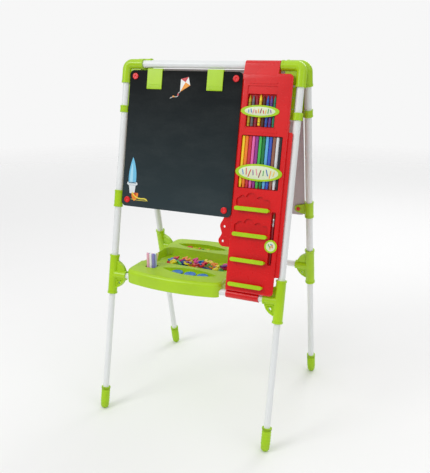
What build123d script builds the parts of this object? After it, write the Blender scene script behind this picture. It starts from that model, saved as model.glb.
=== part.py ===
from build123d import *
import math
import os

# Double-sided children's easel. Millimetres, +Z up, origin on the floor under the
# middle of the easel. The chalkboard faces -Y and the whiteboard faces +Y.
# Each side frame is drawn flat, in its own coordinates: x across, "s" down the legs
# from the top tube's axis, and "off" outwards from the plane of the leg axes.
# Left and right are as seen by a child standing at that side.

# ---- driving dimensions -------------------------------------------------------
top_height = 1120.0          # top tube axis above the floor
hinge_gap = 25.0             # fold axis to each top tube axis
lean = 12.1                  # degrees between each frame and the vertical
leg_x = 288.0                # leg axis from the middle
upper_tube_r = 11.0
lower_tube_r = 10.0
cross_tube_r = 10.0
tube_wall = 1.2
plug_gap = 0.05              # radial gap of a tube pushed into a plastic fitting
cross_s = 682.0              # cross tube and mid connector, down the legs
foot_flat_z = 12.5           # height of the foot's round tip centre
foot_r = 13.5

elbow_r = 15.0
elbow_bend = 18.0
elbow_arm = 60.0
lip = 1.0                    # how far a fitting's end lip stands out
lip_length = 6.0

board_back = 2.0             # board's back face, off
board_thick = 4.0
board_corner = 14.0
ear_thick = 5.0              # ear that carries a board button
button_inset_x = 252.0
button_shank_r = 4.0
button_hole_r = 4.1
chalkboard_span = (-272.0, 112.0, 20.0, 452.0)      # x low, x high, s top, s bottom
whiteboard_span = (-272.0, 272.0, 17.0, 490.0)
chalk_clip_s = 431.0         # middle of the lower board clip on the chalk frame
white_clip_s = 466.0

hinge_pin_r = 4.0
hinge_running_gap = 0.05
knuckle_r = 8.5
knuckle_length = 16.0
knuckle_start = 240.0
knuckle_pitch = 16.5

caddy_left = 119.5
caddy_right = 271.0
caddy_flange = (283.0, 189.0, 611.0)                # x of the side flange's edge, its s top and s bottom
flange_off = (11.6, 14.4)    # back and front of the side flange, in front of the leg
leg_clear_x = 262.0          # the caddy is cut away behind its front to the right of this
caddy_front = 22.0           # off of the caddy's front face
caddy_back = -2.0
caddy_skin = 2.5
caddy_top = 25.0
caddy_bottom = 669.0
roll_right = 226.0           # right end of the rolls that snap on the tubes
shelf_s = (418.0, 495.0, 571.0, 646.0)
shelf_span = (132.5, 239.0)
shelf_depth = 14.0
shelf_lip = (12.0, 5.0)      # height and thickness of a shelf's raised front edge
crayon_window = (139.0, 227.0, 84.0, 179.0)         # x low, x high, s top, s bottom
crayon_recess = (137.0, 230.0, 61.0, 182.0)         # shallow field around the crayon window
pen_window = (131.0, 257.0, 203.0, 358.0)
brush_slot = (245.5, 258.5, 420.0, 577.0)
window_floor = 9.0           # off of the floor that crayons and pens lie on
recess_off = 19.5
slot_floor = 12.0
wing_x = 90.0                # left edge of the wing behind the chalkboard
wing_wave = ((90.0, 444.0), (86.5, 460.0), (79.0, 477.0), (83.0, 492.0), (86.0, 502.0),
             (77.5, 522.0), (84.0, 537.0), (98.0, 541.0))   # (x, s) along its wavy edge
crayon_band_place = (181.0, 133.5)                  # x and s of the retaining plates' middles
pen_band_place = (193.5, 310.0)
brush_disc_place = (252.0, 520.0)
crayon_band_peg = (52.0, 2.0)                       # distance from the middle and radius
pen_band_peg = (67.3, 1.6)
brush_disc_peg = (11.0, 1.6)
crayon_count = 8
crayon_r = 4.2
pen_count = 12
pen_r = 4.8
band_thick = 2.5

clip_width = 52.0
clip_left_x = -182.0
clip_right_x = 24.5

tray_left = -232.0
tray_right = 104.0
tray_half_depth = 206.0
tray_end_arc = 620.0
tray_corner = 32.0
tray_top_round = 12.0
tray_below = 15.0            # tray's lower edge under the cross tube axis
tray_above = 30.0            # tray's top face over the cross tube axis
tray_skin = 3.0
tray_tube_gap = 0.3
tray_waist = 8.0
well_floor = 4.0             # main well's floor over the cross tube axis
recess_floor = 19.0
pot_floor = 16.0
disc_r = 19.0
board_figure_scale = 1.25    # figures on the whiteboard against those in the tray

# ---- derived places -----------------------------------------------------------
lean_sin = math.sin(math.radians(lean))
lean_cos = math.cos(math.radians(lean))
foot_tip_s = (top_height - foot_flat_z) / lean_cos
cross_y = hinge_gap + cross_s * lean_sin
cross_z = top_height - cross_s * lean_cos
tray_x = (tray_left + tray_right) / 2
tray_top = cross_z + tray_above
tray_bottom = cross_z - tray_below
big = 1000.0

parts = {}


# ---- shared helpers -----------------------------------------------------------
def at(x, s, off=0.0):
    """Place in a frame's flat coordinates."""
    return Pos(x, -off, -s)


def chalk_side(shape):
    """Lean a flat shape and hang it from the chalk frame's top tube axis."""
    return Pos(0, -hinge_gap, top_height) * Rot(X=-lean) * shape


def white_side(shape):
    return Rot(Z=180) * chalk_side(shape)


def rod_x(radius, x0, x1, s=0.0, off=0.0):
    return at((x0 + x1) / 2, s, off) * Rot(Y=90) * Cylinder(radius, x1 - x0)


def rod_s(radius, s0, s1, x=leg_x, off=0.0):
    return at(x, (s0 + s1) / 2, off) * Cylinder(radius, s1 - s0)


def rod_off(radius, off0, off1, x, s):
    return at(x, s, (off0 + off1) / 2) * Rot(X=90) * Cylinder(radius, off1 - off0)


def block(x0, x1, s0, s1, off0, off1):
    centre = at((x0 + x1) / 2, (s0 + s1) / 2, (off0 + off1) / 2)
    return centre * Box(x1 - x0, off1 - off0, s1 - s0)


def rounded_block(x0, x1, s0, s1, off0, off1, radius):
    """Plate facing the viewer with its four corners rounded."""
    face = RectangleRounded(x1 - x0, s1 - s0, radius)
    flat = at((x0 + x1) / 2, (s0 + s1) / 2, off0) * Rot(X=90) * face
    return extrude(flat, off1 - off0)


def outline_plate(points, off0, off1):
    """Plate from (x, s) corner points."""
    corners = [(x, -s) for x, s in points]
    face = Pos(0, -off0, 0) * Rot(X=90) * Polygon(*corners, align=None)
    return extrude(face, off1 - off0, dir=(0, -1, 0))


def side_profile(points, x0, x1):
    """Prism along X from (off, s) corner points."""
    wire = Polyline(*[(x0, -off, -s) for off, s in points], close=True)
    return extrude(make_face(wire), x1 - x0, dir=(1, 0, 0))


def mirrored(shape):
    return mirror(shape, about=Plane.YZ)


def tube_x(radius, x0, x1, s=0.0):
    return rod_x(radius, x0, x1, s) - rod_x(radius - tube_wall, x0 - 1, x1 + 1, s)


def tube_s(radius, s0, s1):
    return rod_s(radius, s0, s1) - rod_s(radius - tube_wall, s0 - 1, s1 + 1)


# ---- frame pieces, right-hand versions in flat coordinates --------------------
def elbow(knuckle_x):
    """Corner fitting: two tube sockets, a board ear and a hinge knuckle."""
    arm_x = leg_x - elbow_arm
    start = Line((arm_x, 0, 0), (leg_x - elbow_bend, 0, 0))
    diagonal = elbow_bend * (1 - math.cos(math.radians(45)))
    middle = (leg_x - diagonal, 0, -diagonal)
    bend = ThreePointArc(start @ 1, middle, (leg_x, 0, -elbow_bend))
    drop = Line(bend @ 1, (leg_x, 0, -elbow_arm))
    path = Wire([start, bend, drop])
    body = sweep(Plane(origin=(arm_x, 0, 0), z_dir=(1, 0, 0)) * Circle(elbow_r), path=path)
    body += rod_x(elbow_r + lip, arm_x, arm_x + lip_length)
    body += rod_s(elbow_r + lip, elbow_arm - lip_length, elbow_arm)
    body += board_ear(button_inset_x, 39.0)
    body += outline_plate([(238, 6), (280, 6), (280, 58), (258, 50), (240, 44)], -3.0, board_back)
    reach = Rot(X=lean) * Pos(knuckle_x + knuckle_length / 2, hinge_gap / 2 + elbow_r / 2, 0)
    body += reach * Box(knuckle_length, hinge_gap - elbow_r + 3.0, 10.0)
    axis = Rot(X=lean) * Pos(knuckle_x + knuckle_length / 2, hinge_gap, 0) * Rot(Y=90)
    body += axis * Cylinder(knuckle_r, knuckle_length)
    body -= axis * Cylinder(hinge_pin_r + hinge_running_gap, knuckle_length + 2)
    body -= rod_x(upper_tube_r + plug_gap, arm_x - 1, leg_x - 20)
    body -= rod_s(upper_tube_r + plug_gap, 20, elbow_arm + 1)
    body -= rod_off(button_hole_r, -10, 10, button_inset_x, 39.0)
    return body


def board_ear(x, s):
    """Round pad behind a board, where a button goes through."""
    return rod_off(13.0, board_back - ear_thick, board_back, x, s)


def brace():
    """Collar on the leg with the flat strip that runs up to the elbow."""
    collar = rod_s(14.5, 132, 153)
    for lip_s in (134, 151):
        collar += rod_s(15.2, lip_s - 2, lip_s + 2)
    strip = rounded_block(266.5, 276.5, elbow_arm, 152, -5.0, board_back, 2.0)
    strip += block(270, 277, 134, 151, -5.0, board_back)
    piece = collar + strip
    piece -= rod_s(upper_tube_r + plug_gap, 120, 160)
    for hole_s in (90, 122):
        piece -= rod_off(2.0, -10, 10, 271, hole_s)
    return piece


def lower_clip(middle_s):
    """Sleeve on the leg with a tongue behind the board's lower corner."""
    sleeve = rod_s(14.0, middle_s - 27, middle_s + 27)
    for end_s in (middle_s - 24, middle_s + 24):
        sleeve += rod_s(15.0, end_s - 3, end_s + 3)
    tongue = board_ear(button_inset_x, middle_s)
    tongue_points = [(252, middle_s - 13), (280, middle_s - 20), (280, middle_s + 20),
                     (252, middle_s + 13)]
    tongue += outline_plate(tongue_points, board_back - ear_thick, board_back)
    piece = sleeve + tongue
    piece -= rod_s(upper_tube_r + plug_gap, middle_s - 40, middle_s + 40)
    piece -= rod_off(button_hole_r, -10, 10, button_inset_x, middle_s)
    return piece


def connector():
    """Mid-leg fitting that joins upper leg, lower leg and cross tube."""
    top_s = cross_s - 64
    low_s = cross_s + 65
    body = rod_s(elbow_r, top_s, low_s)
    body += rod_s(elbow_r + 1.5, top_s, top_s + 5)
    body += rod_s(elbow_r + 1.5, low_s - 5, low_s)
    web = rod_off(47.0, -5, 5, leg_x, cross_s)
    rim = rod_off(47.0, -7, 7, leg_x, cross_s) - rod_off(43.0, -9, 9, leg_x, cross_s)
    outer_half = block(leg_x, leg_x + 60, cross_s - 60, cross_s + 60, -9, 9)
    body += web + rim - outer_half
    body += rod_x(14.0, leg_x - 50, leg_x, cross_s)
    body += rod_x(15.0, leg_x - 50, leg_x - 45, cross_s)
    pocket = rod_off(39.0, 2, 9, leg_x, cross_s)
    pocket -= block(leg_x - 18, leg_x + 60, cross_s - 60, cross_s + 60, -9, 20)
    pocket -= block(leg_x - 60, leg_x + 60, cross_s - 60, cross_s + 17, -9, 20)
    body -= pocket
    body += rod_off(7.5, -7, 5, leg_x - 26, cross_s + 26)
    body -= rod_off(4.5, -10, 10, leg_x - 26, cross_s + 26)
    body -= rod_s(upper_tube_r + plug_gap, top_s - 1, cross_s - 1)
    body -= rod_s(lower_tube_r + plug_gap, cross_s + 1, low_s + 1)
    body -= rod_x(cross_tube_r + plug_gap, leg_x - 52, leg_x - 13, cross_s)
    return body


def foot():
    """Ribbed rubber cup with a round tip, cut flat where it meets the floor."""
    cup_top = foot_tip_s - 62
    body = rod_s(foot_r, cup_top, foot_tip_s) + at(leg_x, foot_tip_s) * Sphere(foot_r)
    body += rod_s(foot_r + 1.5, cup_top, cup_top + 5)
    for ring in range(5):
        body += at(leg_x, cup_top + 14 + 9 * ring) * Torus(foot_r - 0.5, 1.8)
    body -= rod_s(lower_tube_r + plug_gap, cup_top - 1, foot_tip_s - 4)
    return body


def floor_cut(shape):
    """Trim a placed shape at the floor."""
    return shape - Pos(0, 0, -25) * Box(big, big, 50)


def board(span, holes):
    """Drawing board with rounded corners and a hole for each button."""
    x0, x1, s0, s1 = span
    panel = rounded_block(x0, x1, s0, s1, board_back, board_back + board_thick, board_corner)
    for x, s in holes:
        panel -= rod_off(button_hole_r, -2, 12, x, s)
    return panel


def button(x, s):
    """Snap rivet: dished round head, shank and back flange."""
    front = board_back + board_thick
    head = rod_off(10.0, front, front + 3.5, x, s)
    head = fillet(head.edges().sort_by(Axis.Y)[:1], 1.8)
    head -= at(x, s, front + 9.0) * Sphere(7.0)
    shank = rod_off(button_shank_r, board_back - ear_thick, front, x, s)
    flange = rod_off(6.0, board_back - ear_thick - 2.5, board_back - ear_thick, x, s)
    return head + shank + flange


def buttons(holes):
    return [button(x, s) for x, s in holes]


def hinge_pin():
    """Headed pin through one chalk knuckle and one white knuckle."""
    end = knuckle_start + knuckle_pitch + knuckle_length
    pin = rod_x(hinge_pin_r, knuckle_start - 2.5, end + 3)
    pin += rod_x(6.5, knuckle_start - 2.5, knuckle_start)
    pin += rod_x(6.5, end + 0.5, end + 3)
    return Pos(0, 0, top_height) * pin


# ---- caddy and what it holds, flat coordinates of the chalk frame --------------
def caddy_shell():
    """Open-backed box with rounded front edges, cut clear of the leg fittings."""
    block_out = block(caddy_left, caddy_right, caddy_top, caddy_bottom, caddy_back, caddy_front)
    block_out = fillet(block_out.edges().filter_by(Axis.Y).group_by(Axis.X)[-1], 13.0)
    front_edges = block_out.faces().sort_by(Axis.Y)[0].edges()
    block_out = fillet(front_edges, 6.0)
    hollow = block(caddy_left + caddy_skin, caddy_right - caddy_skin, caddy_top + caddy_skin,
                   caddy_bottom - caddy_skin, caddy_back - 1, caddy_front - caddy_skin)
    hollow = fillet(hollow.faces().sort_by(Axis.Y)[0].edges(), 3.5)
    shell = block_out - hollow
    shell -= block(leg_clear_x, 300, 0, 700, -5, 10)
    shell -= block(leg_clear_x, 300, 0, 157, -5, 17.5)
    shell -= block(leg_clear_x, 300, 612, 700, -5, 17.5)
    shell -= block(roll_right, 300, 0, 80, -5, 4)
    shell -= block(230, 300, 640, 700, -5, 17.5)
    return shell


def side_flange():
    """Strip in front of the leg with a raised bead along its outer edge."""
    edge, top_s, low_s = caddy_flange
    back, front = flange_off
    strip = rounded_block(caddy_right - 12, edge, top_s, low_s, back, front, 5.0)
    strip -= block(0, caddy_right - caddy_skin, 0, 700, -5, 30)
    bead = rounded_block(edge - 3.5, edge, top_s + 5, low_s - 5, front - 1, front + 1.4, 1.7)
    return strip + bead


def pocket_boss(window, floor):
    x0, x1, s0, s1 = window
    grow = caddy_skin
    return rounded_block(x0 - grow, x1 + grow, s0 - grow, s1 + grow, floor - grow, caddy_front - 1, 5.0)


def pocket_cut(window, floor):
    x0, x1, s0, s1 = window
    return rounded_block(x0, x1, s0, s1, floor, caddy_front + 1, 3.0)


def cloud(shelf, grow, off0, off1):
    """Cloud-shaped recess over a shelf."""
    low = shelf - 5 + grow
    x0 = shelf_span[0] - 0.5
    x1 = shelf_span[1]
    shape = rounded_block(x0 - grow, x1 + grow, shelf - 32 - grow, low, off0, off1, 9.0)
    for along, rise, radius in ((0.18, 26, 13), (0.43, 31, 17), (0.7, 26, 13)):
        shape += rod_off(radius + grow, off0, off1, x0 + along * (x1 - x0), shelf - rise)
    return shape


def top_roll():
    """Hood over the chalk frame's top tube, running down into the caddy's front."""
    outer = rod_x(14.5, caddy_left, roll_right)
    neck = [(14.0, -2.0), (caddy_front, 33.0), (caddy_front, 44.0), (caddy_back, 44.0), (caddy_back, 14.0)]
    outer += side_profile(neck, caddy_left, roll_right)
    inner_neck = [(11.0, 0.0), (caddy_front - caddy_skin, 34.0), (caddy_front - caddy_skin, 50.0),
                  (-9.0, 50.0), (-9.0, 6.0)]
    inner = side_profile(inner_neck, caddy_left + caddy_skin, roll_right - caddy_skin)
    inner += rod_x(upper_tube_r + 0.4, caddy_left - 1, roll_right + 1)
    inner += block(caddy_left - 1, roll_right + 1, 8, 60, -30, -1.9)
    return outer, inner


def bottom_roll():
    """Hook under the chalk frame's cross tube, open at the back."""
    ring = rod_x(13.2, caddy_left, roll_right - 2, cross_s)
    ring -= rod_x(cross_tube_r + 0.4, caddy_left - 1, roll_right, cross_s)
    ring -= block(caddy_left - 1, roll_right, cross_s - 20, cross_s + 6, -20, -3)
    return ring


def caddy_wing():
    """Plate behind the chalkboard's right edge, wavy below the board."""
    back = board_back - ear_thick
    wing = block(wing_x, caddy_left + 1, 24, 450, back, board_back)
    for x, s in ((92, 40), (89, 432)):
        wing += rod_off(14.0, back, board_back, x, s)
    wave = Spline(*[(x, -s) for x, s in wing_wave])
    inner_x = caddy_left + 1
    edge = Polyline(wave @ 1, (inner_x, -wing_wave[-1][1]), (inner_x, -wing_wave[0][1]), wave @ 0)
    skirt = Pos(0, -back, 0) * Rot(X=90) * make_face([wave, edge])
    wing += extrude(skirt, ear_thick, dir=(0, -1, 0))
    for x, s in ((93, 480), (91, 525)):
        wing -= rod_off(3.8, -10, 10, x, s)
    return wing


def caddy_panel():
    """Red organiser panel with pockets, rolls and wing as one moulding."""
    roll, roll_inner = top_roll()
    body = caddy_shell() + roll
    body -= roll_inner
    body += bottom_roll() + caddy_wing() + side_flange()
    pockets = [(crayon_recess, recess_off), (crayon_window, window_floor), (pen_window, window_floor),
               (brush_slot, slot_floor)]
    for window, floor in pockets:
        body += pocket_boss(window, floor)
        body -= pocket_cut(window, floor)
    for shelf in shelf_s[:2]:
        body += cloud(shelf, 2.0, 14.5, caddy_front - 1)
        body -= cloud(shelf, 0.0, 17.0, caddy_front + 1)
    for x0, x1, middle_s in ((139, 227, 52), (134, 238, 191.5)):
        body += rounded_block(x0, x1, middle_s - 3, middle_s + 3, caddy_front - 1, caddy_front + 1.5, 2.9)
    for shelf in shelf_s:
        for peg_x in (shelf_span[0] + 14, shelf_span[1] - 14):
            body -= rod_off(3.05, 10, 30, peg_x, shelf)
    for place, peg in ((crayon_band_place, crayon_band_peg), (pen_band_place, pen_band_peg),
                       (brush_disc_place, brush_disc_peg)):
        for x, s, radius in peg_pair(place, peg):
            body -= rod_off(radius + plug_gap, 15, 30, x, s)
    for x, s in chalkboard_right_holes:
        body -= rod_off(button_hole_r, -10, 10, x, s)
    return body


def peg_pair(place, peg):
    """The two pegs of a retaining plate: x, s and radius of each."""
    x, s = place
    reach, radius = peg
    return [(x - reach, s, radius), (x + reach, s, radius)]


def shelf(middle_s):
    """Pill-shaped shelf with a raised front edge and two pegs."""
    x0, x1 = shelf_span
    front = caddy_front + shelf_depth
    plate = block(x0, x1, middle_s - 3.0, middle_s + 3.0, caddy_front, front)
    plate = fillet(plate.edges().filter_by(Axis.Z).group_by(Axis.Y)[0], 7.0)
    lip_height, lip_thick = shelf_lip
    lip_top = middle_s - lip_height / 2 - 0.5
    lip_low = lip_top + lip_height
    lip_bar = rounded_block(x0, x1, lip_top, lip_low, front - lip_thick, front, lip_height / 2 - 0.5)
    piece = plate + lip_bar
    for peg_x in (x0 + 14, x1 - 14):
        piece += rod_off(3.0, caddy_front - 4.0, caddy_front + 0.5, peg_x, middle_s)
    return piece


def band(place, half_width, half_height, peg):
    """Oval retaining plate that bridges a pocket."""
    oval = at(*place, caddy_front) * Rot(X=90) * Ellipse(half_width, half_height)
    plate = extrude(oval, band_thick)
    plate = fillet(plate.edges().sort_by(Axis.Y)[:1], 0.9)
    for x, s, radius in peg_pair(place, peg):
        plate += rod_off(radius, caddy_front - 2.4, caddy_front + 0.5, x, s)
    return plate


def brush_disc():
    """Round plate that holds the paintbrush in its groove."""
    disc = rod_off(19.0, caddy_front, caddy_front + band_thick, *brush_disc_place)
    disc = fillet(disc.edges().sort_by(Axis.Y)[:1], 0.9)
    for x, s, radius in peg_pair(brush_disc_place, brush_disc_peg):
        disc += rod_off(radius, caddy_front - 2.4, caddy_front + 0.5, x, s)
    return disc


def crayon(index):
    x0, x1, s0, s1 = crayon_window
    pitch = (x1 - x0) / crayon_count
    x = x0 + pitch * (index + 0.5)
    off = window_floor + crayon_r + 0.1
    stick = rod_s(crayon_r, s0 + 14, s1 - 2, x, off)
    tip = at(x, s0 + 14 - 5, off) * Cone(crayon_r - 0.6, 1.4, 10.0)
    return stick + tip


def pen(index):
    x0, x1, s0, s1 = pen_window
    pitch = (x1 - x0) / pen_count
    x = x0 + pitch * (index + 0.5)
    off = window_floor + pen_r + 0.1
    barrel = rod_s(pen_r, s0 + 2, s1 - 12, x, off)
    cap = rod_s(pen_r - 0.6, s1 - 12, s1 - 2, x, off)
    return barrel + cap


def paintbrush():
    """Handle, ferrule and bristle tuft in one small solid, tip upwards."""
    x = (brush_slot[0] + brush_slot[1]) / 2
    top = brush_slot[2] + 3
    off = slot_floor + 4.2
    brush = at(x, top + 8, off) * Cone(3.4, 0.8, 16.0)
    brush += rod_s(3.6, top + 16, top + 40, x, off)
    brush += at(x, top + 40 + 55, off) * Cone(2.0, 3.6, 110.0)
    return brush


def paper_clip(x):
    """Clip that hooks over the chalkboard's top edge and slides along it."""
    x0 = x - clip_width / 2
    x1 = x + clip_width / 2
    gap = 0.3
    front = board_back + board_thick + gap
    back = board_back - gap
    top = chalkboard_span[2] - gap
    outline = [(front, top), (front, 76), (front + 1.6, 78), (front + 3, 76), (front + 3, 16.5),
               (front + 1.5, 14.5), (back - 1.5, 14.5), (back - 3, 16.5), (back - 3, 44), (back, 44),
               (back, top)]
    piece = side_profile(outline, x0, x1)
    for ridge in range(3):
        piece += block(x0 + 4, x1 - 4, 62 + 5 * ridge, 64 + 5 * ridge, front + 2.5, front + 3.8)
    return piece


# ---- tray, in the easel's own coordinates -------------------------------------
def tray_outline(grow, waist):
    """Plan of the tray: straight sides with a waist, bowed ends, round corners."""
    left = tray_left - grow
    right = tray_right + grow
    half = (right - left) / 2
    radius = tray_end_arc + grow
    arc_centre = tray_end_arc - tray_half_depth
    corner_y = math.sqrt(radius ** 2 - half ** 2) - arc_centre
    tip_y = tray_half_depth + grow
    lower = ThreePointArc((left, -corner_y), (tray_x, -tip_y), (right, -corner_y))
    upper = ThreePointArc((right, corner_y), (tray_x, tip_y), (left, corner_y))
    sides = [Line((right, -corner_y), (right, corner_y)), Line((left, corner_y), (left, -corner_y))]
    plan = make_face(Wire([lower, sides[0], upper, sides[1]]))
    plan = fillet(plan.vertices(), tray_corner + grow)
    for edge_x in (left, right):
        plan -= Pos(edge_x, 0) * RectangleRounded(2 * waist, 170 - 2 * grow, waist * 0.98)
    return plan


def lens(centre_x, centre_y, half_length, half_width):
    """Lens-shaped plan made of two arcs."""
    points = [(centre_x - half_length, centre_y), (centre_x + half_length, centre_y)]
    near = ThreePointArc(points[0], (centre_x, centre_y - half_width), points[1])
    far = ThreePointArc(points[1], (centre_x, centre_y + half_width), points[0])
    return make_face(Wire([near, far]))


def tray_wells():
    """Plan, floor height over the tube axis and wall draft of every hollow."""
    plans = [(Pos(tray_x, 0) * RectangleRounded(302, 156, 30), well_floor, 14.0)]
    for turn in (1, -1):
        plans.append((lens(tray_x + 34 * turn, -123 * turn, 97, 27), recess_floor, 3.0))
        pot = Pos(tray_x - 103 * turn, -124 * turn) * RectangleRounded(38, 34, 8)
        plans.append((pot, pot_floor, 2.0))
    return plans


def hook_ribs():
    """Ribs under the tray that hook over both cross tubes."""
    ribs = []
    for x in (tray_x - 110, tray_x, tray_x + 110):
        for turn in (1, -1):
            height = tray_above - 1.5 + 8
            middle = cross_z - 8 + height / 2
            ribs.append(Pos(x, turn * (cross_y - 1), middle) * Box(3, 32, height))
    return ribs


def tube_slots():
    """Room for the two cross tubes: a snap hook and an open ramp."""
    hook_r = cross_tube_r + tray_tube_gap
    near = Pos(0, -cross_y, cross_z) * Rot(Y=90) * Cylinder(hook_r, big)
    near += Pos(0, -cross_y, cross_z - 20) * Box(big, 2 * hook_r - 1.6, 40)
    ramp_r = hook_r + 0.3
    far = Pos(0, cross_y, cross_z) * Rot(Y=90) * Cylinder(ramp_r, big)
    far += Pos(0, cross_y, cross_z) * Rot(X=36) * Pos(0, -40, 0) * Box(big, 80, 2 * ramp_r)
    far += Pos(0, cross_y - 10, cross_z - 20) * Box(big, 20 + 2 * ramp_r - 1.6, 40)
    return near, far


def tray():
    """Green tray: thin shell with wells, hooked on the cross tubes."""
    height = tray_top - tray_bottom
    outer = Pos(0, 0, tray_bottom) * extrude(tray_outline(0.0, tray_waist), height)
    outer = fillet(outer.faces().sort_by(Axis.Z)[-1].edges(), tray_top_round)
    outer = fillet(outer.faces().sort_by(Axis.Z)[0].edges(), 1.2)
    inner_plan = tray_outline(-tray_skin, tray_waist)
    cavity = Pos(0, 0, tray_bottom - 1) * extrude(inner_plan, height + 1 - tray_skin)
    cavity = fillet(cavity.faces().sort_by(Axis.Z)[-1].edges(), tray_top_round - tray_skin)
    for rib in hook_ribs():
        cavity -= rib
    wells = []
    for plan, floor, draft in tray_wells():
        depth = tray_above - floor
        at_top = Pos(0, 0, tray_top) * plan
        hollow = extrude(at_top, depth, dir=(0, 0, -1), taper=draft)
        around = extrude(Pos(0, 0, tray_top) * offset(plan, 2.4), depth + 2.4, dir=(0, 0, -1), taper=draft)
        cavity -= around
        wells.append(hollow)
    body = outer - cavity
    for hollow in wells:
        body -= hollow
    near, far = tube_slots()
    return body - near - far


def chalk_sticks():
    """Bunch of sticks standing in the tray's left pot."""
    pot_x = tray_x - 103
    floor = cross_z + pot_floor + 0.1
    sticks = []
    for column in range(3):
        for row in range(2):
            place = Pos(pot_x - 10.4 + 10.4 * column, -129.2 + 10.4 * row, floor + 30 - 2 * row)
            sticks.append(place * Cylinder(4.9, 60 - 4 * row))
    return sticks


def marker():
    """Board marker leaning in the tray's other pot: barrel, then cap."""
    foot_point = Vector(tray_x + 99, 133, cross_z + pot_floor + 7.5)
    direction = Vector(67, -13, 60).normalized()
    seat = Plane(origin=foot_point, z_dir=direction)
    barrel = seat * Pos(0, 0, 32) * Cylinder(6.5, 64)
    cap = seat * Pos(0, 0, 64 + 22) * Cylinder(7.2, 44)
    return barrel, fillet(cap.edges().sort_by(Axis.Z)[-1:], 2.0)


def flat_disc(x, y, z, tilt=0.0):
    disc = Cylinder(disc_r, 5)
    return Pos(x, y, z + 2.6) * Rot(X=tilt) * disc


def tray_discs():
    """Round magnets in the tray's chalk-side recess."""
    floor = cross_z + recess_floor
    return [flat_disc(x, -123, floor) for x in (-74, -28, 16)]


def enlarged(points, factor):
    return [(x * factor, y * factor) for x, y in points]


def stroke_piece(points, width, thick):
    """Flat toy figure drawn by one thick stroke through the points."""
    shape = Pos(*points[0]) * Circle(width / 2)
    for a, b in zip(points, points[1:]):
        middle = ((a[0] + b[0]) / 2, (a[1] + b[1]) / 2)
        length = math.dist(a, b)
        turn = math.degrees(math.atan2(b[1] - a[1], b[0] - a[0]))
        shape += Pos(*middle) * Rot(Z=turn) * Rectangle(length, width)
        shape += Pos(*b) * Circle(width / 2)
    return extrude(shape, thick)


figure_five = [(8, 14), (-8, 14), (-9, 2), (3, 4), (8, -4), (3, -12), (-9, -12)]
figure_two = [(-9, 8), (-3, 14), (6, 13), (8, 5), (-8, -13), (9, -13)]
figure_seven = [(-10, 13), (10, 13), (-2, -13)]
figure_plus = [(-11, 0), (11, 0), (0, 0), (0, 11), (0, -11)]
figure_equals = [(-10, 7), (0, 6), (10, 7), (0, 6), (0, -6), (-10, -7), (10, -7)]


def tray_figures():
    """Loose magnetic figures lying in the tray's main well."""
    floor = cross_z + well_floor + 0.1
    choices = [figure_seven, figure_plus, figure_five, figure_two, figure_equals]
    pieces = []
    for column in range(5):
        for row in range(2):
            shape = stroke_piece(choices[(column + 3 * row) % 5], 8.0, 6.0)
            place = Pos(-158 + 48 * column + 9 * row, -24 + 42 * row, floor)
            pieces.append(place * Rot(Z=35 * column + 50 * row) * shape)
    return pieces


# ---- magnets on the whiteboard, flat coordinates of the white frame ------------
def on_whiteboard(shape, x, s, turn=0.0):
    face = board_back + board_thick
    return at(x, s, face) * Rot(X=90) * Rot(Z=turn) * shape


def board_figures():
    """The sum written with toy figures."""
    rows = [(figure_five, -148, 229, -4), (figure_plus, -97, 217, -8), (figure_two, -40, 222, 4),
            (figure_equals, 12, 213, -8), (figure_seven, 69, 202, -6)]
    figures = []
    for points, x, s, turn in rows:
        figure = stroke_piece(enlarged(points, board_figure_scale), 11.5, 6.0)
        figures.append(on_whiteboard(figure, x, s, -turn))
    return figures


def board_bars():
    rows = [(-173, 295, 112, 3), (-170, 329, 54, 90), (-160, 366, 117, 2), (188, 342, 58, 72)]
    bars = []
    for x, s, length, turn in rows:
        bar = fillet(Box(length, 12, 6).edges().filter_by(Axis.Z), 2.0)
        bars.append(on_whiteboard(Pos(0, 0, 3) * bar, x, s, turn))
    return bars


def board_discs():
    disc = Pos(0, 0, 3) * Cylinder(disc_r, 6)
    return [on_whiteboard(disc, x, s) for x, s in ((72, 338), (111, 346), (154, 345))]


# ---- build and place every node ------------------------------------------------
chalkboard_left_holes = [(-button_inset_x, 39.0), (-button_inset_x, chalk_clip_s)]
chalkboard_right_holes = [(92.0, 40.0), (89.0, 432.0)]
whiteboard_holes = [(side * button_inset_x, s) for side in (-1, 1) for s in (39.0, white_clip_s)]


def add(name, shape):
    if isinstance(shape, (list, tuple)):
        shape = Compound(children=[solid for item in shape for solid in item.solids()])
    parts[name] = shape


def add_frame(side, place, knuckle_x, clip_s, clip_sides):
    """All tubes and fittings of one leg frame."""
    pieces = {
        "elbow": elbow(knuckle_x),
        "brace": brace(),
        "upper_leg": tube_s(upper_tube_r, 20, cross_s - 1),
        "connector": connector(),
        "lower_leg": tube_s(lower_tube_r, cross_s + 1, foot_tip_s - 4),
    }
    end = leg_x - 20
    add(side + "_top_tube", place(tube_x(upper_tube_r, -end, end)))
    cross_end = leg_x - 13
    add(side + "_cross_tube", place(tube_x(cross_tube_r, -cross_end, cross_end, cross_s)))
    for hand, turned in (("left", mirrored), ("right", lambda shape: shape)):
        for name, shape in pieces.items():
            add(f"{side}_{hand}_{name}", place(turned(shape)))
        add(f"{side}_{hand}_foot", floor_cut(place(turned(foot()))))
        if hand in clip_sides:
            add(f"{side}_{hand}_board_clip", place(turned(lower_clip(clip_s))))


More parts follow.
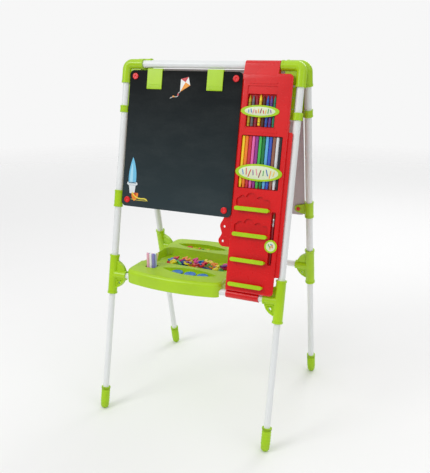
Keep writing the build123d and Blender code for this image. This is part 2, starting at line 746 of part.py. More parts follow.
def add_chalk_side():
    add_frame("chalk", chalk_side, knuckle_start, chalk_clip_s, ("left",))
    holes = chalkboard_left_holes + chalkboard_right_holes
    add("chalkboard", chalk_side(board(chalkboard_span, holes)))
    add("chalkboard_buttons", [chalk_side(piece) for piece in buttons(holes)])
    add("caddy_panel", chalk_side(caddy_panel()))
    for number, middle_s in enumerate(shelf_s, 1):
        add(f"caddy_shelf_{number}", chalk_side(shelf(middle_s)))
    add("crayon_band", chalk_side(band(crayon_band_place, 59.0, 17.5, crayon_band_peg)))
    add("pen_band", chalk_side(band(pen_band_place, 72.0, 25.0, pen_band_peg)))
    add("brush_retainer", chalk_side(brush_disc()))
    add("crayons", [chalk_side(crayon(index)) for index in range(crayon_count)])
    add("felt_pens", [chalk_side(pen(index)) for index in range(pen_count)])
    add("paintbrush", chalk_side(paintbrush()))
    add("left_paper_clip", chalk_side(paper_clip(clip_left_x)))
    add("right_paper_clip", chalk_side(paper_clip(clip_right_x)))


def add_white_side():
    add_frame("white", white_side, knuckle_start + knuckle_pitch, white_clip_s, ("left", "right"))
    add("whiteboard", white_side(board(whiteboard_span, whiteboard_holes)))
    add("whiteboard_buttons", [white_side(piece) for piece in buttons(whiteboard_holes)])
    add("magnet_figures", [white_side(piece) for piece in board_figures()])
    add("magnet_bars", [white_side(piece) for piece in board_bars()])
    add("magnet_discs", [white_side(piece) for piece in board_discs()])


def add_tray():
    add("tray", tray())
    add("chalk_sticks", chalk_sticks())
    barrel, cap = marker()
    add("marker_barrel", barrel)
    add("marker_cap", cap)
    add("tray_discs", tray_discs())
    add("tray_figures", tray_figures())


add_chalk_side()
add_white_side()
add_tray()
add("right_hinge_pin", hinge_pin())
add("left_hinge_pin", mirrored(hinge_pin()))

os.makedirs("parts", exist_ok=True)
for name, shape in parts.items():
    export_step(shape, f"parts/{name}.step")
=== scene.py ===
import math
import random

import bmesh
import bpy
from mathutils import Matrix, Vector


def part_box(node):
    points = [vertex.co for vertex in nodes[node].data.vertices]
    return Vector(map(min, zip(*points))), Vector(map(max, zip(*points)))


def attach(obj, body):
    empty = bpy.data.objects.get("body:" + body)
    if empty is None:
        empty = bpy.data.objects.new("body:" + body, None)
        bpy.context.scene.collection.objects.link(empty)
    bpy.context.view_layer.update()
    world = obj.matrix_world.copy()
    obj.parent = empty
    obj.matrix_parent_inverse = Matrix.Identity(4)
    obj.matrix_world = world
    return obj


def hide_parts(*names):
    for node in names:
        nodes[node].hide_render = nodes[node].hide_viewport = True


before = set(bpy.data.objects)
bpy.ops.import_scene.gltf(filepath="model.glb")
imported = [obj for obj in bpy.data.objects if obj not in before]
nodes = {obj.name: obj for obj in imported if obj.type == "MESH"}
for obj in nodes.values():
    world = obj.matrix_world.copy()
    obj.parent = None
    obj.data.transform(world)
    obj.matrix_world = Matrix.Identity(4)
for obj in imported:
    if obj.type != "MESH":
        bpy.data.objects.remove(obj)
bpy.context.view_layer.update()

# Looks of the children's easel. Sizes of pieces are in millimetres in each side's flat
# coordinates: x across, s down the legs from the top tube, off outwards from the legs.
MM = 0.001


# ---- places taken from the CAD frame ------------------------------------------
def middle(node):
    low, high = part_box(node)
    return (low + high) / 2


def side_frame(side):
    """Matrix from flat millimetres (x across, y up the legs, z outwards) to the row frame."""
    top = middle(side + "_top_tube")
    up = (top - middle(side + "_cross_tube")).normalized()
    across = Vector((1, 0, 0)) if side == "chalk" else Vector((-1, 0, 0))
    axes = Matrix((across, up, across.cross(up))).transposed()
    return Matrix.Translation(top) @ axes.to_4x4() @ Matrix.Scale(MM, 4)


CHALK = side_frame("chalk")
WHITE = side_frame("white")
ROW = Matrix.Scale(MM, 4)
UP = Matrix.Rotation(math.radians(-90), 4, "X")      # turns a lathe's Z along the legs, upwards
FACE = 6.0                   # off of both boards' faces
PLATE_FACE = 24.5            # off of the retaining plates' faces on the caddy
BOARDS = {"chalk": (CHALK, "chalk_frame", "chalkboard"),
          "white": (WHITE, "white_frame", "whiteboard")}


def spot(x, s, off, turn=0.0):
    """Place in flat coordinates, turned about the outward direction by degrees."""
    return Matrix.Translation((x, -s, off)) @ Matrix.Rotation(math.radians(turn), 4, "Z")


def solids(node, place):
    """Each separate solid of a CAD node as a bmesh in place's coordinates, left to right."""
    bm = bmesh.new()
    bm.from_mesh(nodes[node].data)
    bmesh.ops.remove_doubles(bm, verts=bm.verts, dist=1e-6)
    bm.transform(place.inverted())
    found = []
    left = set(bm.verts)
    while left:
        seed = left.pop()
        group = {seed}
        front = [seed]
        while front:
            vert = front.pop()
            for edge in vert.link_edges:
                other = edge.other_vert(vert)
                if other not in group:
                    group.add(other)
                    front.append(other)
        left -= group
        part = bmesh.new()
        copies = {vert: part.verts.new(vert.co) for vert in group}
        for face in {face for vert in group for face in vert.link_faces}:
            part.faces.new([copies[vert] for vert in face.verts])
        found.append(part)
    bm.free()
    return sorted(found, key=lambda part: (round(centre(part).x, 1), centre(part).y))


def limits(bm):
    low = Vector([min(vert.co[i] for vert in bm.verts) for i in range(3)])
    high = Vector([max(vert.co[i] for vert in bm.verts) for i in range(3)])
    return low, high


def centre(bm):
    low, high = limits(bm)
    return (low + high) / 2


# ---- material helper ------------------------------------------------------------
def tone(code):
    """Linear colour from a six-digit screen colour."""
    values = [int(code[i:i + 2], 16) / 255 for i in (0, 2, 4)]
    linear = [v / 12.92 if v <= 0.04045 else ((v + 0.055) / 1.055) ** 2.4 for v in values]
    return (*linear, 1.0)


def shade(colour, factor):
    return tuple(min(1.0, c * factor) for c in colour[:3]) + (1.0,)


class Finish:
    """One procedural material, built node by node."""

    def __init__(self, name, **sockets):
        self.material = bpy.data.materials.new(name)
        self.material.use_nodes = True
        self.tree = self.material.node_tree
        self.shader = self.tree.nodes["Principled BSDF"]
        self.normal = None
        for key, value in sockets.items():
            self.shader.inputs[key.replace("_", " ")].default_value = value
        self.where = self.node("ShaderNodeTexCoord").outputs["Object"]

    def node(self, kind, **settings):
        made = self.tree.nodes.new(kind)
        for key, value in settings.items():
            setattr(made, key, value)
        return made

    def feed(self, socket, value):
        """Link another node's output to a socket, or set the socket's value."""
        if isinstance(value, bpy.types.NodeSocket):
            self.tree.links.new(value, socket)
        else:
            socket.default_value = value

    def stretch(self, scale, turn=(0, 0, 0)):
        mapping = self.node("ShaderNodeMapping")
        self.feed(mapping.inputs["Vector"], self.where)
        mapping.inputs["Scale"].default_value = scale
        mapping.inputs["Rotation"].default_value = turn
        return mapping.outputs["Vector"]

    def noise(self, scale, detail=3.0, rough=0.5, where=None):
        made = self.node("ShaderNodeTexNoise")
        self.feed(made.inputs["Vector"], where or self.where)
        made.inputs["Scale"].default_value = scale
        made.inputs["Detail"].default_value = detail
        made.inputs["Roughness"].default_value = rough
        return made.outputs["Fac"]

    def cells(self, scale):
        made = self.node("ShaderNodeTexVoronoi")
        self.feed(made.inputs["Vector"], self.where)
        made.inputs["Scale"].default_value = scale
        return made.outputs["Distance"]

    def remap(self, value, low, high, to_low=0.0, to_high=1.0):
        made = self.node("ShaderNodeMapRange")
        for name, item in (("Value", value), ("From Min", low), ("From Max", high),
                           ("To Min", to_low), ("To Max", to_high)):
            self.feed(made.inputs[name], item)
        return made.outputs["Result"]

    def math(self, operation, a, b=0.0):
        made = self.node("ShaderNodeMath", operation=operation)
        self.feed(made.inputs[0], a)
        self.feed(made.inputs[1], b)
        return made.outputs[0]

    def mix(self, factor, a, b):
        made = self.node("ShaderNodeMix", data_type="RGBA")
        self.feed(made.inputs["Factor"], factor)
        self.feed(made.inputs["A"], a)
        self.feed(made.inputs["B"], b)
        return made.outputs["Result"]

    def axis(self, name):
        made = self.node("ShaderNodeSeparateXYZ")
        self.feed(made.inputs[0], self.where)
        return made.outputs[name]

    def proud(self, place, off):
        """1 where the surface stands at least off millimetres out from a side's leg plane."""
        out = (place.to_3x3() @ Vector((0, 0, 1))).normalized()
        dot = self.node("ShaderNodeVectorMath", operation="DOT_PRODUCT")
        self.feed(dot.inputs[0], self.where)
        dot.inputs[1].default_value = out
        level = out.dot(place.translation) + off * MM
        blend = 0.2 * MM
        return self.remap(dot.outputs["Value"], level - blend, level)

    def edges(self, radius):
        """1 along convex and concave edges, 0 on open faces."""
        bevel = self.node("ShaderNodeBevel", samples=4)
        bevel.inputs["Radius"].default_value = radius
        geometry = self.node("ShaderNodeNewGeometry")
        dot = self.node("ShaderNodeVectorMath", operation="DOT_PRODUCT")
        self.feed(dot.inputs[0], bevel.outputs["Normal"])
        self.feed(dot.inputs[1], geometry.outputs["Normal"])
        return self.remap(dot.outputs["Value"], 0.98, 0.7)

    def bump(self, height, distance, strength=1.0):
        made = self.node("ShaderNodeBump")
        made.inputs["Strength"].default_value = strength
        made.inputs["Distance"].default_value = distance
        self.feed(made.inputs["Height"], height)
        if self.normal:
            self.feed(made.inputs["Normal"], self.normal)
        self.normal = made.outputs["Normal"]

    def done(self, colour=None, roughness=None):
        if colour is not None:
            self.feed(self.shader.inputs["Base Color"], colour)
        if roughness is not None:
            self.feed(self.shader.inputs["Roughness"], roughness)
        if self.normal:
            self.feed(self.shader.inputs["Normal"], self.normal)
        return self.material


# ---- materials ------------------------------------------------------------------
GRAIN = 0.00002              # depth of the mould grain on large mouldings, in metres
FINE_GRAIN = 0.00001         # and on small ones
SKIN = 0.4                   # millimetres under a board's face that still take its paint


def plastic(name, code, gloss, edge, grain, coat):
    """Moulded plastic: fine mould grain, faint flow marks, hairline scratches, and edges painted
    lighter, partly as rubbed wear and partly as a painted highlight.
    """
    base = tone(code)
    made = Finish(name, Coat_Weight=coat, Coat_Roughness=0.18, IOR=1.45)
    flow = made.noise(14.0, 4.0, 0.55)
    cloudy = made.mix(made.remap(flow, 0.3, 0.7), shade(base, 0.93), shade(base, 1.05))
    # edges are mixed towards a lighter tone (edge times the base): rubbed wear and a painted
    # highlight
    rims = made.edges(0.0012)
    rubbed_and_highlit = made.math("MULTIPLY", rims, made.remap(made.noise(160.0), 0.35, 0.65, 0.25, 0.8))
    colour = made.mix(rubbed_and_highlit, cloudy, shade(base, edge))
    scratch = made.noise(55.0, 2.0, 0.6, made.stretch((1.0, 14.0, 1.6), (0.3, 0.5, 0.9)))
    fine = made.remap(scratch, 0.64, 0.72)
    roughness = made.math("ADD", made.remap(flow, 0.2, 0.8, gloss - 0.05, gloss + 0.06),
                          made.math("MULTIPLY", fine, 0.12))
    made.bump(made.noise(2200.0, 2.0), grain)
    made.bump(made.noise(26.0, 2.0), 0.00022, 0.35)
    made.bump(fine, 0.00002, 0.5)
    return made.done(colour, roughness)


def powder_coat():
    """White powder coat: orange peel, a slightly cloudy tone and grey scuffs low down."""
    base = tone("E9ECEC")
    made = Finish("powder_coat", Coat_Weight=0.15, Coat_Roughness=0.25, IOR=1.5)
    cloudy = made.mix(made.remap(made.noise(7.0), 0.3, 0.7), shade(base, 0.95), base)
    scuff = made.noise(90.0, 5.0, 0.7, made.stretch((1.0, 1.0, 0.18)))
    low_down = made.remap(made.axis("Z"), 0.42, 0.03, 0.15, 1.0)
    marks = made.math("MULTIPLY", made.remap(scuff, 0.66, 0.74), low_down)
    colour = made.mix(made.math("MULTIPLY", marks, 0.5), cloudy, tone("A9ABA8"))
    roughness = made.remap(made.noise(30.0), 0.3, 0.7, 0.30, 0.42)
    made.bump(made.noise(650.0, 2.0), 0.00006, 0.6)
    made.bump(made.noise(2600.0), 0.00001)
    return made.done(colour, roughness)


def slate():
    """Chalkboard paint with wiped dust and a painted reflection that lightens it towards the
    bottom, over brown hardboard at the back and the rims.
    """
    made = Finish("chalkboard_slate", IOR=1.45, Specular_IOR_Level=0.12)
    front = made.proud(CHALK, FACE - SKIN)
    wiped = made.noise(6.0, 6.0, 0.62, made.stretch((1.0, 1.0, 2.6), (0, 0.5, 0)))
    wiped = made.remap(wiped, 0.42, 0.78)
    dust = made.math("MULTIPLY", wiped, made.remap(made.noise(900.0, 2.0), 0.4, 0.62))
    # painted reflection: the slate is painted lighter from the top of the board down to its bottom
    low = made.remap(made.axis("Z"), 1.10, 0.67, 0.0, 1.0)
    paint = made.mix(low, tone("080A0B"), tone("303C40"))
    paint = made.mix(made.math("MULTIPLY", dust, 0.045), paint, tone("C9CFCB"))
    fibre = made.noise(420.0, 5.0, 0.7, made.stretch((1.0, 0.5, 0.35)))
    mesh = made.cells(700.0)
    brown = made.mix(made.remap(fibre, 0.3, 0.7), tone("6B4A2C"), tone("A07A4E"))
    brown = made.mix(made.remap(mesh, 0.1, 0.5, 0.25, 0.0), brown, tone("4B3420"))
    colour = made.mix(front, brown, paint)
    roughness = made.remap(front, 0.0, 1.0, 0.85, 0.52)
    made.bump(made.noise(1800.0, 3.0), 0.00004, 0.8)
    made.bump(made.math("MULTIPLY", mesh, made.remap(front, 0.0, 1.0, 1.0, 0.0)), 0.00020)
    return made.done(colour, roughness)


def dry_erase():
    """Glossy whiteboard face with ghosts of wiped ink, over a pale lilac back."""
    made = Finish("whiteboard_face", Coat_Weight=0.4, Coat_Roughness=0.08, IOR=1.5)
    front = made.proud(WHITE, FACE - SKIN)
    ghost = made.noise(9.0, 6.0, 0.6, made.stretch((1.0, 1.0, 3.2), (0, 0.7, 0)))
    white = made.mix(made.remap(ghost, 0.5, 0.75, 0.0, 0.35), tone("F1F1F3"), tone("E0E2EA"))
    fibre = made.noise(500.0, 5.0, 0.7)
    back = made.mix(made.remap(fibre, 0.3, 0.7), tone("B9B2B8"), tone("CFC9CE"))
    colour = made.mix(front, back, white)
    roughness = made.remap(front, 0.0, 1.0, 0.7, 0.24)
    made.bump(made.noise(1500.0, 2.0), 0.000012)
    return made.done(colour, roughness)


def rubber(name, code):
    """Satin rubber that is dirty towards the floor."""
    base = tone(code)
    made = Finish(name, IOR=1.45)
    near_floor = made.remap(made.axis("Z"), 0.035, 0.0)
    dirt = made.math("MULTIPLY", near_floor, made.remap(made.noise(220.0, 4.0), 0.35, 0.65))
    colour = made.mix(made.math("MULTIPLY", dirt, 0.35), base, tone("5C6440"))
    made.bump(made.noise(1600.0, 2.0), 0.00004)
    return made.done(colour, made.remap(made.noise(60.0), 0.3, 0.7, 0.42, 0.55))


def steel():
    made = Finish("hinge_steel", Metallic=1.0)
    brushed = made.noise(300.0, 3.0, 0.5, made.stretch((0.05, 1.0, 1.0)))
    made.bump(brushed, 0.00002)
    colour = made.mix(brushed, tone("A9AAAB"), tone("D0D1D2"))
    return made.done(colour, made.remap(brushed, 0.3, 0.7, 0.22, 0.4))


def ink(name, code):
    """Printed ink: a thin satin film with tiny pinholes."""
    base = tone(code)
    made = Finish(name)
    speck = made.remap(made.noise(1400.0, 2.0), 0.34, 0.42)
    made.bump(made.noise(900.0), 0.00001)
    colour = made.mix(speck, shade(base, 0.86), base)
    return made.done(colour, made.remap(made.noise(120.0), 0.3, 0.7, 0.3, 0.45))


def wax(name, code):
    base = tone(code)
    made = Finish(name, Subsurface_Weight=0.15, Subsurface_Scale=0.002, IOR=1.43)
    made.bump(made.noise(1200.0, 3.0), 0.00005)
    smear = made.remap(made.noise(300.0, 3.0), 0.4, 0.7)
    colour = made.mix(smear, base, shade(base, 1.25))
    return made.done(colour, made.remap(smear, 0.0, 1.0, 0.35, 0.5))


def paper(name, code):
    base = tone(code)
    made = Finish(name)
    fibre = made.noise(2400.0, 4.0, 0.7)
    made.bump(fibre, 0.00003)
    colour = made.mix(made.remap(fibre, 0.3, 0.7), shade(base, 0.9), base)
    return made.done(colour, made.remap(fibre, 0.3, 0.7, 0.55, 0.7))


def chalk_stuff(name, code):
    """Pitted, powdery chalk."""
    base = tone(code)
    made = Finish(name)
    pits = made.noise(1500.0, 5.0, 0.75)
    made.bump(pits, 0.00025)
    worn = made.remap(made.noise(240.0, 3.0), 0.4, 0.65)
    colour = made.mix(worn, base, shade(base, 1.12))
    return made.done(colour, made.remap(pits, 0.3, 0.7, 0.85, 0.98))


def bristles():
    made = Finish("bristles")
    hair = made.noise(1800.0, 3.0, 0.6, made.stretch((1.0, 1.0, 0.04)))
    made.bump(hair, 0.0002)
    return made.done(made.mix(made.remap(hair, 0.3, 0.7), tone("2E1B12"), tone("8A6237")), 0.6)


powder = powder_coat()
# edge: how much lighter each plastic's edges are painted, part wear and part painted highlight
lime = plastic("lime_plastic", "AAD30A", gloss=0.30, edge=1.2, grain=GRAIN, coat=0.15)
lime_tray = plastic("lime_tray_plastic", "ABD40C", gloss=0.34, edge=1.2, grain=GRAIN, coat=0.12)
red = plastic("red_plastic", "DA070C", gloss=0.26, edge=1.45, grain=0.000012, coat=0.2)
red_button = plastic("red_button_plastic", "DE1016", gloss=0.24, edge=1.4, grain=FINE_GRAIN,
                     coat=0.25)


# ---- making pieces --------------------------------------------------------------
SMOOTH_BELOW = math.radians(40.0)    # steeper edges stay sharp in the shading


def piece(name, bm, place, materials, body, replaced=()):
    """Turn a bmesh in place's coordinates into an object that rides on a CAD body."""
    bmesh.ops.recalc_face_normals(bm, faces=bm.faces)
    mesh = bpy.data.meshes.new(name)
    bm.to_mesh(mesh)
    bm.free()
    mesh_piece(name, mesh, place, materials, body, replaced)


def mesh_piece(name, mesh, place, materials, body, replaced=()):
    """The same from a mesh."""
    mesh.transform(place)
    for material in (materials if isinstance(materials, list) else [materials]):
        mesh.materials.append(material)
    made = bpy.data.objects.new(name, mesh)
    bpy.context.scene.collection.objects.link(made)
    mesh.shade_smooth()
    mesh.set_sharp_from_angle(angle=SMOOTH_BELOW)
    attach(made, body)
    if replaced:
        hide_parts(*replaced)


def first_replaces(number, node):
    """The CAD node that a piece of a set replaces: the first piece replaces it for all."""
    return (node,) if number == 1 else ()


def lathe(profile, segments, bands=()):
    """Closed turned solid about Z from (radius, height) points; bands give material numbers."""
    bm = bmesh.new()
    turns = [2 * math.pi * k / segments for k in range(segments)]
    rings = []
    for radius, height in profile:
        rings.append([bm.verts.new((radius * math.cos(a), radius * math.sin(a), height))
                      for a in turns])
    for index, (lower, upper) in enumerate(zip(rings, rings[1:])):
        for k in range(segments):
            after = (k + 1) % segments
            face = bm.faces.new((lower[k], lower[after], upper[after], upper[k]))
            face.material_index = bands[index] if index < len(bands) else 0
    bm.faces.new(list(reversed(rings[0]))).material_index = bands[0] if bands else 0
    bm.faces.new(rings[-1]).material_index = bands[-1] if bands else 0
    return bm


def curve_mesh(points, filled, depth):
    """Mesh of (x, y) points: a filled outline depth thick each way, or a stroke of that radius."""
    data = bpy.data.curves.new("drawn", "CURVE")
    data.dimensions = "2D" if filled else "3D"
    data.fill_mode = "BOTH" if filled else "FULL"
    data.extrude = depth if filled else 0.0
    data.bevel_depth = 0.0 if filled else depth
    data.bevel_resolution = 2
    data.use_fill_caps = not filled
    data.resolution_u = 6
    spline = data.splines.new("POLY" if filled else "NURBS")
    spline.points.add(len(points) - 1)
    for point, (x, y) in zip(spline.points, points):
        point.co = (x, y, 0.0, 1.0)
    spline.use_cyclic_u = filled
    if not filled:
        spline.order_u = 4
        spline.use_endpoint_u = True
    holder = bpy.data.objects.new("drawn", data)
    bpy.context.scene.collection.objects.link(holder)
    drawn = holder.evaluated_get(bpy.context.evaluated_depsgraph_get())
    mesh = bpy.data.meshes.new_from_object(drawn)
    bpy.data.objects.remove(holder)
    bpy.data.curves.remove(data)
    return mesh


def flattened(mesh, height):
    """Squash a drawn stroke so that it lies on a face like a line of ink."""
    top = max(abs(vert.co.z) for vert in mesh.vertices)
    mesh.transform(Matrix.Diagonal((1, 1, height / top, 1)))
    return mesh


# ---- CAD nodes that stay: better materials and softened edges ---------------------
SAME_POINT = 0.000002                # metres: closer points of the CAD mesh become one
SAME_CORNER = 0.0000012              # metres: the same, where softened edges meet
FLAT_WITHIN = math.radians(0.4)      # faces at less than this angle become one
SOFTEN_ABOVE = math.radians(35.0)    # steeper edges are softened


def keep(node, material, edge=0.0):
    """Give a CAD node its material, and soften its edges over edge millimetres."""
    made = nodes[node]
    made.data.materials.clear()
    made.data.materials.append(material)
    made.data.shade_smooth()
    weld = made.modifiers.new("weld", "WELD")
    weld.merge_threshold = SAME_POINT
    flat = made.modifiers.new("flat_faces", "DECIMATE")
    flat.decimate_type = "DISSOLVE"
    flat.angle_limit = FLAT_WITHIN
    if edge:
        bevel = made.modifiers.new("soft_edges", "BEVEL")
        bevel.width = edge * MM
        bevel.segments = 2
        bevel.limit_method = "ANGLE"
        bevel.angle_limit = SOFTEN_ABOVE
        bevel.use_clamp_overlap = True
        corners = made.modifiers.new("closed_corners", "WELD")
        corners.merge_threshold = SAME_CORNER
    weighted = made.modifiers.new("even_shading", "WEIGHTED_NORMAL")
    weighted.keep_sharp = True
    weighted.weight = 80


def keep_all():
    foot_rubber = rubber("foot_rubber", "A6D010")
    pin_steel = steel()
    for name in nodes:
        if name.endswith(("top_tube", "cross_tube", "upper_leg", "lower_leg")):
            keep(name, powder)
        elif name.endswith("_foot"):
            keep(name, foot_rubber)
        elif name.endswith(("elbow", "brace", "connector", "board_clip")):
            keep(name, lime, 0.5)
        elif name.endswith("hinge_pin"):
            keep(name, pin_steel, 0.3)
        elif name.startswith("caddy_shelf") or name.endswith(("_band", "paper_clip", "retainer")):
            keep(name, lime, 0.3)
    keep("tray", lime_tray, 0.8)
    keep("caddy_panel", red, 0.6)
    keep("chalkboard", slate(), 0.5)
    keep("whiteboard", dry_erase(), 0.5)
    keep("chalkboard_buttons", red_button, 0.3)
    keep("whiteboard_buttons", red_button, 0.3)


# ---- crayons, pens and brush in the caddy, and its labels ---------------------------
def standing(bm, lift=0.0):
    """Place at the foot of a solid that stands along the legs, and the solid's length."""
    low, high = limits(bm)
    foot = Matrix.Translation(((low.x + high.x) / 2, low.y + lift, (low.z + high.z) / 2)) @ UP
    return foot, high.y - low.y


def crayons():
    """Wax crayons in paper sleeves with printed rings; the yellow one stands a little proud."""
    yellow = "F7D92C"
    codes = ("C2A91F", "6C7274", "9C2138", yellow, "54321F", "2F5DB5", "63409A", "1F8A60")
    ring = ink("crayon_ring_ink", "26221F")
    for number, (bm, code) in enumerate(zip(solids("crayons", CHALK), codes), 1):
        foot, length = standing(bm, 3.0 if code == yellow else 0.0)
        bm.free()
        sleeve = length - 15
        profile = [(3.3, 0), (3.9, 0.5), (3.9, 2.5), (4.2, 2.5)]
        for lower, upper in ((7, 8), (9.2, 9.8), (sleeve - 7, sleeve - 6)):
            profile += [(4.2, lower), (4.22, lower), (4.22, upper), (4.2, upper)]
        profile += [(4.2, sleeve), (3.95, sleeve), (3.9, length - 10.5), (3.5, length - 10),
                    (1.6, length - 0.6), (1.2, length)]
        bands = [0] * 3 + [1, 1, 2, 2] * 3 + [1] + [0] * 5
        stuff = [wax(f"crayon_wax_{number}", code), paper(f"crayon_paper_{number}", code), ring]
        piece(f"crayon_{number}", lathe(profile, 28, bands), CHALK @ foot, stuff, "chalk_frame",
              first_replaces(number, "crayons"))


def felt_pens():
    """Felt pens on their caps, each with four ribs on the cap and a groove at the far end."""
    codes = ("F8D820", "F58427", "CF2C42", "EA6BB2", "983592", "45BA50", "157A40",
             "62B2E4", "2E57C4", "96614A", "DDE0E3", "222224")
    first_rib, rib_pitch, cap = 12, 3.2, 26.0
    for number, (bm, code) in enumerate(zip(solids("felt_pens", CHALK), codes), 1):
        foot, length = standing(bm)
        low, high = limits(bm)
        bm.free()
        r = (high.x - low.x) / 2
        profile = [(r - 1.6, 0), (r - 0.9, 0.5), (r - 0.7, 9.5), (r - 0.3, 10.2),
                   (r - 0.1, first_rib)]
        for rib in range(4):
            level = first_rib + rib_pitch * rib
            profile += [(r - 0.1, level + 0.8), (r + 0.02, level + 1.2),
                        (r + 0.02, level + 2.4), (r - 0.1, level + 2.8)]
        profile += [(r - 0.1, cap), (r - 0.5, cap + 0.1), (r - 0.5, cap + 0.9), (r, cap + 1.0),
                    (r, length - 5), (r - 0.35, length - 4.6), (r - 0.35, length - 3.8),
                    (r, length - 3.4), (r, length - 0.8), (r - 0.7, length)]
        barrel = plastic(f"pen_plastic_{number}", code, gloss=0.25, edge=1.3, grain=FINE_GRAIN,
                         coat=0.4)
        piece(f"felt_pen_{number}", lathe(profile, 28), CHALK @ foot, barrel, "chalk_frame",
              first_replaces(number, "felt_pens"))


def paintbrush():
    """Lacquered handle, crimped ferrule and pointed tuft."""
    foot, top = standing(solids("paintbrush", CHALK)[0])
    profile = [(0.9, 0), (1.6, 0.8), (2.0, 4), (2.2, 30), (2.9, 60), (3.5, 92), (3.4, top - 42),
               (3.0, top - 40), (3.45, top - 39.6), (3.45, top - 36), (3.2, top - 35.4),
               (3.45, top - 34.8), (3.45, top - 32), (3.2, top - 31.4), (3.45, top - 30.8),
               (3.5, top - 17), (3.3, top - 16.6), (3.5, top - 12), (3.0, top - 8),
               (1.6, top - 3), (0.3, top - 0.2)]
    bands = [0] * 7 + [1] * 9 + [2] * 4
    lacquer = plastic("brush_lacquer", "7E1620", gloss=0.18, edge=1.5, grain=FINE_GRAIN, coat=0.6)
    stuff = [lacquer, steel(), bristles()]
    piece("paintbrush_turned", lathe(profile, 24, bands), CHALK @ foot, stuff, "chalk_frame",
          ("paintbrush",))


def oval_plate(half_x, half_y):
    """Thin oval film that is let into the face below it."""
    low, high = -0.1, 0.22
    bm = lathe([(1.0, low), (1.0, high - 0.1), (0.985, high)], 64)
    bm.transform(Matrix.Diagonal((half_x, half_y, 1, 1)))
    return bm


def label(name, x, s, half_x, half_y, marks):
    """Printed oval on a retaining plate: pale field with small slanted crayon marks."""
    place = CHALK @ spot(x, s, PLATE_FACE)
    piece(name + "_field", oval_plate(half_x, half_y), place, ink(name + "_ink", "DDE8C4"),
          "chalk_frame")
    half, point = 1.5, 3
    for number, (across, up, length, turn, code) in enumerate(marks, 1):
        tip = [(-half, -length / 2), (half, -length / 2), (half, length / 2 - point),
               (0, length / 2), (-half, length / 2 - point)]
        mesh = curve_mesh(tip, filled=True, depth=0.1)
        slant = Matrix.Rotation(math.radians(turn), 4, "Z")
        where = place @ Matrix.Translation((across, up, 0.27)) @ slant
        mesh_piece(f"{name}_mark_{number}", mesh, where, ink(f"{name}_mark_ink_{number}", code),
                   "chalk_frame")


def labels():
    """Labels of the three retaining plates, and the pins at the ends of the two bands."""
    crayon_s, pen_s, brush_s = 133.5, 310.0, 520.0
    codes = ("5C8FD0", "3E62B8", "E58AA0", "D8474F", "F0A23A", "8A2E4C", "D03038", "E9C23A",
             "4FA35A", "7C4FA0")
    count = len(codes)
    small = [(-34 + 7.5 * k, 1.5 * math.sin(1.7 * k), 11 + 2 * (k % 3), 14 * math.sin(2.3 * k),
              codes[k]) for k in range(count)]
    large = [(-48 + 10.6 * k, 2.5 * math.sin(2.1 * k), 17 + 4 * (k % 3),
              18 * math.sin(1.9 * k + 1), codes[(k * 3) % count]) for k in range(count)]
    few = [(-5, 2, 12, 30, "4FA35A"), (0, -3, 13, -20, "E9A23A"), (5, 2, 12, 10, "D8474F"),
           (1, 6, 8, 70, "5C8FD0")]
    label("crayon_band_label", 181.0, crayon_s, 47.0, 12.5, small)
    label("pen_band_label", 193.5, pen_s, 61.0, 19.5, large)
    label("brush_retainer_label", 252.0, brush_s, 14.0, 14.0, few)
    ends = ((127.5, crayon_s), (234.5, crayon_s), (127.5, pen_s), (259.5, pen_s))
    for number, (x, s) in enumerate(ends, 1):
        pin = lathe([(2.1, -0.3), (2.1, 0.25), (1.7, 0.55), (1.1, 0.55), (0.9, 0.2)], 24)
        piece(f"band_pin_{number}", pin, CHALK @ spot(x, s, PLATE_FACE), lime, "chalk_frame")


# ---- printed pictures on the boards ------------------------------------------------
SHAPE_LIFT = 0.06            # millimetres from a board's face to the middle of a printed shape
LINE_LIFT = 0.04             # and of a printed line
LEVEL_STEP = 0.06            # from one level of ink to the next


def petal(width, height, sway):
    """Pointed flame outline from its base: two curved sides that meet in a tip."""
    steps = 16
    outline = []
    for side in (-1, 1):
        base = Vector((side * width / 2, 0))
        bulge = Vector((side * width * 0.62 - sway * 0.1, height * 0.55))
        tip = Vector((sway, height))
        run = []
        for k in range(steps + 1):
            t = k / steps
            run.append(base * (1 - t) ** 2 + bulge * 2 * t * (1 - t) + tip * t * t)
        outline += run if side < 0 else list(reversed(run))[1:]
    return outline


def round_outline(r):
    steps = 24
    turns = [math.radians(360 * k / steps) for k in range(steps)]
    return [(r * math.cos(a), r * math.sin(a)) for a in turns]


def scribble(width, height, waves):
    """Looped pen line that runs across."""
    per_wave = 10
    steps = waves * per_wave
    points = []
    for k in range(steps + 1):
        a = 2 * math.pi * k / per_wave
        along = k / steps
        points.append((width * (along - 0.5) + height * 0.35 * math.cos(a),
                       height / 2 * math.sin(a) * (1 - 0.3 * along)))
    return points


def printed(name, mesh, side, where, code):
    """Lay a mesh on a board as ink; where is its place in the side's flat coordinates."""
    place, body, slot = BOARDS[side]
    mesh_piece(name, mesh, place @ where, ink(name + "_ink", code), body)


def print_shape(name, outline, side, x, s, code, turn=0.0, level=0):
    """Flat printed shape on a board; higher levels lie over lower ones."""
    mesh = curve_mesh(outline, filled=True, depth=0.05)
    off = FACE + SHAPE_LIFT + LEVEL_STEP * level
    printed(name, mesh, side, spot(x, s, off, turn), code)


def print_line(name, points, side, x, s, code, width, level=0):
    """Printed pen line on a board."""
    mesh = flattened(curve_mesh(points, filled=False, depth=width / 2), 0.08)
    printed(name, mesh, side, spot(x, s, FACE + LINE_LIFT + LEVEL_STEP * level), code)


